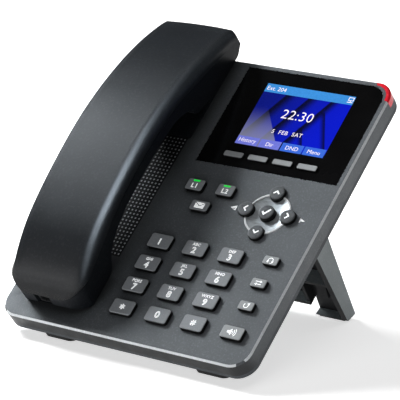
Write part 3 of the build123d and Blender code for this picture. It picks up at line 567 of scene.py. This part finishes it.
# ------------------------------------------------------------------ picture behind the lens
def picture_material():
    m = Mat("picture_glow")
    uv = m.t.nodes.new("ShaderNodeUVMap")
    uv.uv_map = "face"
    sep = m.t.nodes.new("ShaderNodeSeparateXYZ")
    m.link(uv.outputs["UV"], sep.inputs["Vector"])
    U, V = sep.outputs["X"], sep.outputs["Y"]     # millimetres / 57.6 and / 43.2

    def mm(sock, k):
        return m.math("MULTIPLY", sock, k)
    u, v = mm(U, 57.6), mm(V, 43.2)
    # folded panels: saw-tooth shading along lines that lean like the seams (24 mm of run for 31 mm of rise)
    lean = m.math("SUBTRACT", u, m.math("MULTIPLY", v, 0.49))      # constant along the seams
    col_dark, col_mid, col_bright = rgb(1, 2, 24), rgb(5, 19, 122), rgb(3, 22, 200)
    gain = m.ramp(lean, 0.0, 1.0, -14.0, 46.0)
    base = m.mix(gain, col_mid, col_bright)
    for c0, width in ((-2.6, 8.0), (12.0, 8.0), (26.4, 7.0)):
        d = m.math("SUBTRACT", lean, c0)
        edge = m.math("MULTIPLY", m.ramp(d, 1.0, 0.0, 0.8, width), m.ramp(d, 0.0, 1.0, -1.1, -0.1))
        base = m.mix(m.math("MULTIPLY", edge, 0.97), base, col_dark)
    lean2 = m.math("ADD", u, m.math("MULTIPLY", v, 0.48))          # the seams that lean the other way
    for c0, width, vtop in ((58.2, 4.0, 30.0), (43.6, 4.0, 17.5)):
        d = m.math("SUBTRACT", m.math("MULTIPLY", lean2, -1.0), -c0)
        edge = m.math("MULTIPLY", m.ramp(d, 1.0, 0.0, 0.0, width), m.ramp(d, 0.0, 1.0, -0.6, 0.0))
        below = m.ramp(v, 1.0, 0.0, vtop - 1.5, vtop + 0.5)
        base = m.mix(m.math("MULTIPLY", m.math("MULTIPLY", edge, below), 0.9), base, col_dark)
    # painted glare: a pale reflection painted into the lower left corner of the picture
    ridge = m.math("ADD", m.math("MULTIPLY", v, 0.735), u)          # 27.9 along the slanted edge
    inside = m.ramp(ridge, 1.0, 0.0, 27.6, 28.2)
    fade = m.ramp(v, 0.66, 0.0, 3.0, 28.0)
    base = m.mix(m.math("MULTIPLY", inside, fade), base, rgb(150, 152, 178))
    dots = m.noise(2600.0, 1.0)
    base = m.mix(m.ramp(dots, 0.0, 0.06, 0.45, 0.7), base, rgb(60, 74, 230))
    m.link(m.mix(0.85, base, (0.002, 0.002, 0.003, 1.0)), m.b.inputs["Base Color"])
    m.link(base, m.b.inputs["Emission Color"])
    m.b.inputs["Emission Strength"].default_value = 0.9
    m.link(m.ramp(m.noise(60.0, 3.0), 0.10, 0.16, 0.3, 0.7), m.b.inputs["Roughness"])
    m.link(m.bump(m.noise(500.0, 2.0), 0.01, 0.00003), m.b.inputs["Normal"])
    m.b.inputs["Specular IOR Level"].default_value = 0.10
    return m.m


LENS_TOP = -0.1
bm = bmesh.new()
uvl = bm.loops.layers.uv.new("face")
nu, nv = 24, 18
grid = [[bm.verts.new((57.6 * i / nu, 43.2 * j / nv, LENS_TOP + 0.02)) for j in range(nv + 1)] for i in range(nu + 1)]
for i in range(nu):
    for j in range(nv):
        fc = bm.faces.new((grid[i][j], grid[i + 1][j], grid[i + 1][j + 1], grid[i][j + 1]))
ext = bmesh.ops.extrude_face_region(bm, geom=list(bm.faces))
low = [g for g in ext["geom"] if isinstance(g, bmesh.types.BMVert)]
bmesh.ops.translate(bm, verts=low, vec=(0, 0, -0.12))
bmesh.ops.recalc_face_normals(bm, faces=list(bm.faces))
for fc in bm.faces:
    for lp in fc.loops:
        lp[uvl].uv = (lp.vert.co.x / 57.6, lp.vert.co.y / 43.2)
me = bpy.data.meshes.new("screen_picture")
bm.to_mesh(me)
bm.free()
me.transform(SLAB)
me.materials.append(picture_material())
pic = bpy.data.objects.new("screen_picture", me)
bpy.context.scene.collection.objects.link(pic)
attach(pic, "base")

UI_BAR = glow("screen_bar", rgb(62, 148, 226), 0.85, 0.14, 0.08, 0.0, spec=0.10, body=0.15)
UI_KEY = glow("screen_soft_field", rgb(62, 112, 226), 0.85, 0.14, 0.08, 0.0, spec=0.10, body=0.15)
UI_KEY_PALE = glow("screen_soft_field_pale", rgb(118, 126, 226), 0.85, 0.14, 0.08, 0.0, spec=0.10, body=0.15)
UI_TEXT = glow("screen_text", rgb(250, 240, 246), 0.95, 0.15, 0.03, 0.0, spec=0.10, body=0.3)

f = Flat("screen_title_bar", LENS_TOP + 0.02, thick=0.05, lift=0.01)
f.poly([(0, 37.3), (57.6, 37.3), (57.6, 43.2), (0, 43.2)])
f.done("base", UI_BAR, "screen")
for i, (a, b) in enumerate(((0.0, 14.2), (15.0, 28.5), (29.3, 43.1), (43.9, 57.3))):
    f = Flat(f"screen_soft_field_{i + 1}", LENS_TOP + 0.02, thick=0.05, lift=0.01)
    f.poly([(a, 0.0), (b, 0.0), (b, 5.6), (a, 5.6)])
    f.done("base", UI_KEY_PALE if i < 2 else UI_KEY, "screen")
f = Flat("screen_lettering", LENS_TOP + 0.03, thick=0.05, lift=0.02)
f.text("22:30", 29.0, 24.4, 6.3, bold=-0.06, spread=1.04)
f.text("5  FEB  SAT", 28.4, 11.9, 2.6, bold=0.0, spread=1.1)
f.text("Ext. 204", 0.8, 40.2, 2.7, bold=0.0, align="LEFT")
for body, u_ in (("History", 6.9), ("Dir", 21.6), ("DND", 36.2), ("Menu", 50.4)):
    f.text(body, u_, 2.7, 2.6, bold=0.0)
# network mark
f.strip([(54.0, 42.2), (57.0, 42.2), (57.0, 40.2), (54.0, 40.2)], 0.4, closed=True)
f.strip([(55.5, 40.2), (55.5, 39.2)], 0.4)
f.strip([(53.6, 38.9), (57.2, 38.9)], 0.45)
f.done("base", UI_TEXT, "screen")

# thin bright line round the lens: a painted highlight standing for the light caught by the raised edge there
f = Flat("lens_rim_line", 0.0, thick=0.25, lift=0.0)
corner = arc(74.2 - 10.5, 52.3 - 10.5, 10.5, 0, 90, 14)
f.strip([(-17.6, -15.9), (74.2, -15.9)] + corner + [(-17.6, 52.3)], 0.34, closed=True)
RIM_LINE = f

RIM_LINE.done("base", metal("rim_highlight_finish", rgb(120, 124, 128), 0.3))

# pale acoustic cloth showing through the speaker holes, made light to stand also for the glint on the hole edges:
# partly painted highlight
bm = bmesh.new()
for i in range(17):
    for j in range(38):
        gu, gv = -31.5 - 2.44 * i, 5.8 - 2.44 * j
        if True:
            pts = arc(gu, gv, 0.57, 0, 330, 11)
            hi = [bm.verts.new((x, y, -0.08)) for x, y in pts]
            lo = [bm.verts.new((x, y, -0.3)) for x, y in pts]
            bm.faces.new(hi)
            bm.faces.new(lo[::-1])
            for k in range(12):
                bm.faces.new((hi[k], lo[k], lo[(k + 1) % 12], hi[(k + 1) % 12]))
me = bpy.data.meshes.new("grille_cloth")
bm.to_mesh(me)
bm.free()
me.transform(SLAB)
me.materials.append(plastic("grille_cloth_glint_finish", rgb(150, 154, 158), 0.5, 0.25, 2600.0, 0.4, worn=0.0))
cloth = bpy.data.objects.new("grille_cloth", me)
bpy.context.scene.collection.objects.link(cloth)
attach(cloth, "base")

# ------------------------------------------------------------------ rear: blank rating label and socket print (upright panel, row frame)
label_w = -12.0 + 0.3
f = Flat("rear_label", 0.0, thick=0.0, lift=0.25, matrix=SLAB @ Matrix.Translation((0, 0, label_w)) @ Matrix.Rotation(math.pi, 4, "Y"))
f.poly(rounded(-19.0, 39.0, -111.3, -88.7, 1.0, 4))
f.done("base", LABEL)
f = Flat("rear_label_print", 0.25, thick=0.05, lift=0.02, matrix=SLAB @ Matrix.Translation((0, 0, label_w)) @ Matrix.Rotation(math.pi, 4, "Y"))
f.text("IP PHONE", -17.0, -92.0, 2.6, bold=0.05, align="LEFT")
f.text("DC 5V  PoE", -17.0, -97.0, 1.9, align="LEFT")
x = -16.6
rnd = random.Random(3)
while x < 16.0:
    wd = rnd.choice((0.25, 0.4, 0.6))
    f.strip([(x, -102.0), (x, -108.5)], wd)
    x += wd + rnd.choice((0.35, 0.5, 0.8))
f.strip([(22.0, -92.5), (37.0, -92.5), (37.0, -108.5), (22.0, -108.5)], 0.3, closed=True)
f.done("base", INK_DARK)

PANEL_Y = 46.0 * CT + 12.0 * ST + 27.5
PANEL = Matrix(((-0.001, 0, 0, 0), (0, 0, 0.001, PANEL_Y * 0.001), (0, 0.001, 0, 0), (0, 0, 0, 1)))
f = Flat("socket_print", 0.0, thick=0.05, lift=0.03, matrix=PANEL)
for word, x_ in (("LAN", -48.0), ("PC", -30.0), ("DC 5V", 22.0)):
    f.text(word, -x_, 90.6, 1.7, bold=0.04)
for x_ in (-10.0, 4.0):
    c = -x_
    if x_ < 0:
        f.strip(arc(c, 90.6, 1.2, 200, -20, 12), 0.35)
        f.poly(rounded(c - 1.55, c - 0.85, 89.6, 90.6, 0.2, 2))
        f.poly(rounded(c + 0.85, c + 1.55, 89.6, 90.6, 0.2, 2))
    else:
        f.strip([(c - 1.6, 90.0), (c - 1.0, 91.1), (c + 1.0, 91.1), (c + 1.6, 90.0)], 0.55)
f.done("base", PRINT)


# gold contact wires inside the sockets
def wires(name, cx_list, n, pitch, z_hi, z_lo, y_in, y_out, r=0.22):
    bm = bmesh.new()
    for cx in cx_list:
        for k in range(n):
            x = cx + (k - (n - 1) / 2) * pitch
            path = [(x, y_out, z_hi), (x, y_in + 2.0, z_hi - 0.3), (x, y_in, z_lo)]
            rings = []
            for (px, py, pz) in path:
                rings.append([bm.verts.new((px + r * math.cos(a), py, pz + r * math.sin(a))) for a in
                              (math.pi / 4, 3 * math.pi / 4, 5 * math.pi / 4, 7 * math.pi / 4)])
            for a, b in zip(rings, rings[1:]):
                for i in range(4):
                    bm.faces.new((a[i], a[(i + 1) % 4], b[(i + 1) % 4], b[i]))
            bm.faces.new(rings[0][::-1])
            bm.faces.new(rings[-1])
    bmesh.ops.recalc_face_normals(bm, faces=list(bm.faces))
    me = bpy.data.meshes.new(name)
    bm.to_mesh(me)
    bm.free()
    me.transform(Matrix.Scale(0.001, 4))
    me.materials.append(GOLD)
    ob = bpy.data.objects.new(name, me)
    bpy.context.scene.collection.objects.link(ob)
    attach(ob, "base")
    return ob


wires("network_contacts", (-48.0, -30.0), 8, 1.02, 100.3 + 3.1, 100.3 - 0.5, PANEL_Y - 11.0, PANEL_Y - 3.0)
wires("handset_socket_contacts", (-10.0, 4.0), 4, 1.02, 100.3 + 1.6, 100.3 - 1.2, PANEL_Y - 9.8, PANEL_Y - 3.0)

# ------------------------------------------------------------------ floor
bm = bmesh.new()
n = 64
ring0 = [bm.verts.new((0, 0, 0))]
prev = None
radii = [0.15, 0.3, 0.6, 1.2, 2.5, 5.0, 12.0]
loops = []
for r in radii:
    loops.append([bm.verts.new((r * math.cos(2 * math.pi * i / n), r * math.sin(2 * math.pi * i / n), 0)) for i in range(n)])
for i in range(n):
    bm.faces.new((ring0[0], loops[0][i], loops[0][(i + 1) % n]))
for a, b in zip(loops, loops[1:]):
    for i in range(n):
        bm.faces.new((a[i], b[i], b[(i + 1) % n], a[(i + 1) % n]))
me = bpy.data.meshes.new("floor")
bm.to_mesh(me)
bm.free()
fm = Mat("floor_white")
fm.link(fm.mix(fm.ramp(fm.noise(3.0, 3.0), 0.0, 1.0, 0.3, 0.7), (0.93, 0.93, 0.93, 1), (0.95, 0.95, 0.95, 1)), fm.b.inputs["Base Color"])
fm.b.inputs["Roughness"].default_value = 0.85
fm.b.inputs["Specular IOR Level"].default_value = 0.1
fm.b.inputs["Emission Color"].default_value = (1.0, 1.0, 1.0, 1.0)
fm.b.inputs["Emission Strength"].default_value = 0.62
me.materials.append(fm.m)
floor = bpy.data.objects.new("floor", me)
floor.location = (0, 0, -0.0002)
bpy.context.scene.collection.objects.link(floor)
floor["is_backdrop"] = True

# ------------------------------------------------------------------ light
world = bpy.data.worlds.new("studio")
bpy.context.scene.world = world
world.use_nodes = True
world.node_tree.nodes["Background"].inputs["Color"].default_value = (1.0, 1.0, 1.0, 1.0)
world.node_tree.nodes["Background"].inputs["Strength"].default_value = 0.085


def soft_box(name, place, aim, size, power, size_y=None, colour=(1, 1, 1), gloss=True, diffuse=True):
    data = bpy.data.lights.new(name, "AREA")
    data.shape = "RECTANGLE"
    data.size = size
    data.size_y = size_y or size
    data.energy = power
    data.color = colour
    ob = bpy.data.objects.new(name, data)
    ob.location = place
    d = Vector(aim) - Vector(place)
    ob.rotation_euler = d.to_track_quat("-Z", "Y").to_euler()
    bpy.context.scene.collection.objects.link(ob)
    ob.visible_glossy = gloss
    ob.visible_diffuse = diffuse
    return ob


soft_box("top_box", (0.10, 0.20, 0.95), (0, 0, 0.06), 0.5, 1.3)
soft_box("left_box", (-0.74, 0.12, 0.66), (0, 0, 0.06), 0.34, 16.5, gloss=False)
soft_box("sheen_box", (-0.74, -0.03, 0.67), (0, 0, 0.06), 0.30, 9.0, colour=(0.88, 0.95, 1.0), diffuse=False)
rim = soft_box("side_box", (0.57, -0.34, 0.74), (0, 0, 0.05), 0.22, 66.0, 0.30, colour=(0.74, 0.87, 1.0), diffuse=False)
# this narrow light only picks out the rounded edge of the handset
only = bpy.data.collections.new("handset_edge_light")
only.objects.link(NODES["handset_back"])
rim.light_linking.receiver_collection = only
soft_box("front_box", (-0.62, -0.95, 0.14), (0, 0, 0.05), 0.9, 3.5, 0.16, diffuse=False)

# ------------------------------------------------------------------ camera
cam_data = bpy.data.cameras.new("camera")
cam_data.lens = 216.85
cam_data.sensor_width = 36.0
cam_data.sensor_fit = "HORIZONTAL"
cam_data.clip_start = 0.05
cam = bpy.data.objects.new("camera", cam_data)
right = Vector((0.81725, 0.57629, 0.0))
up = Vector((-0.15879, 0.22523, 0.96128))
fwd = Vector((-0.55398, 0.78560, -0.27558))
rot = Matrix((right, up, -fwd)).transposed()
cam.matrix_world = Matrix.Translation((0.73037, -1.03612, 0.43346)) @ rot.to_4x4()
bpy.context.scene.collection.objects.link(cam)
bpy.context.scene.camera = cam
bpy.context.scene.view_settings.view_transform = "Standard"

low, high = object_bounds()
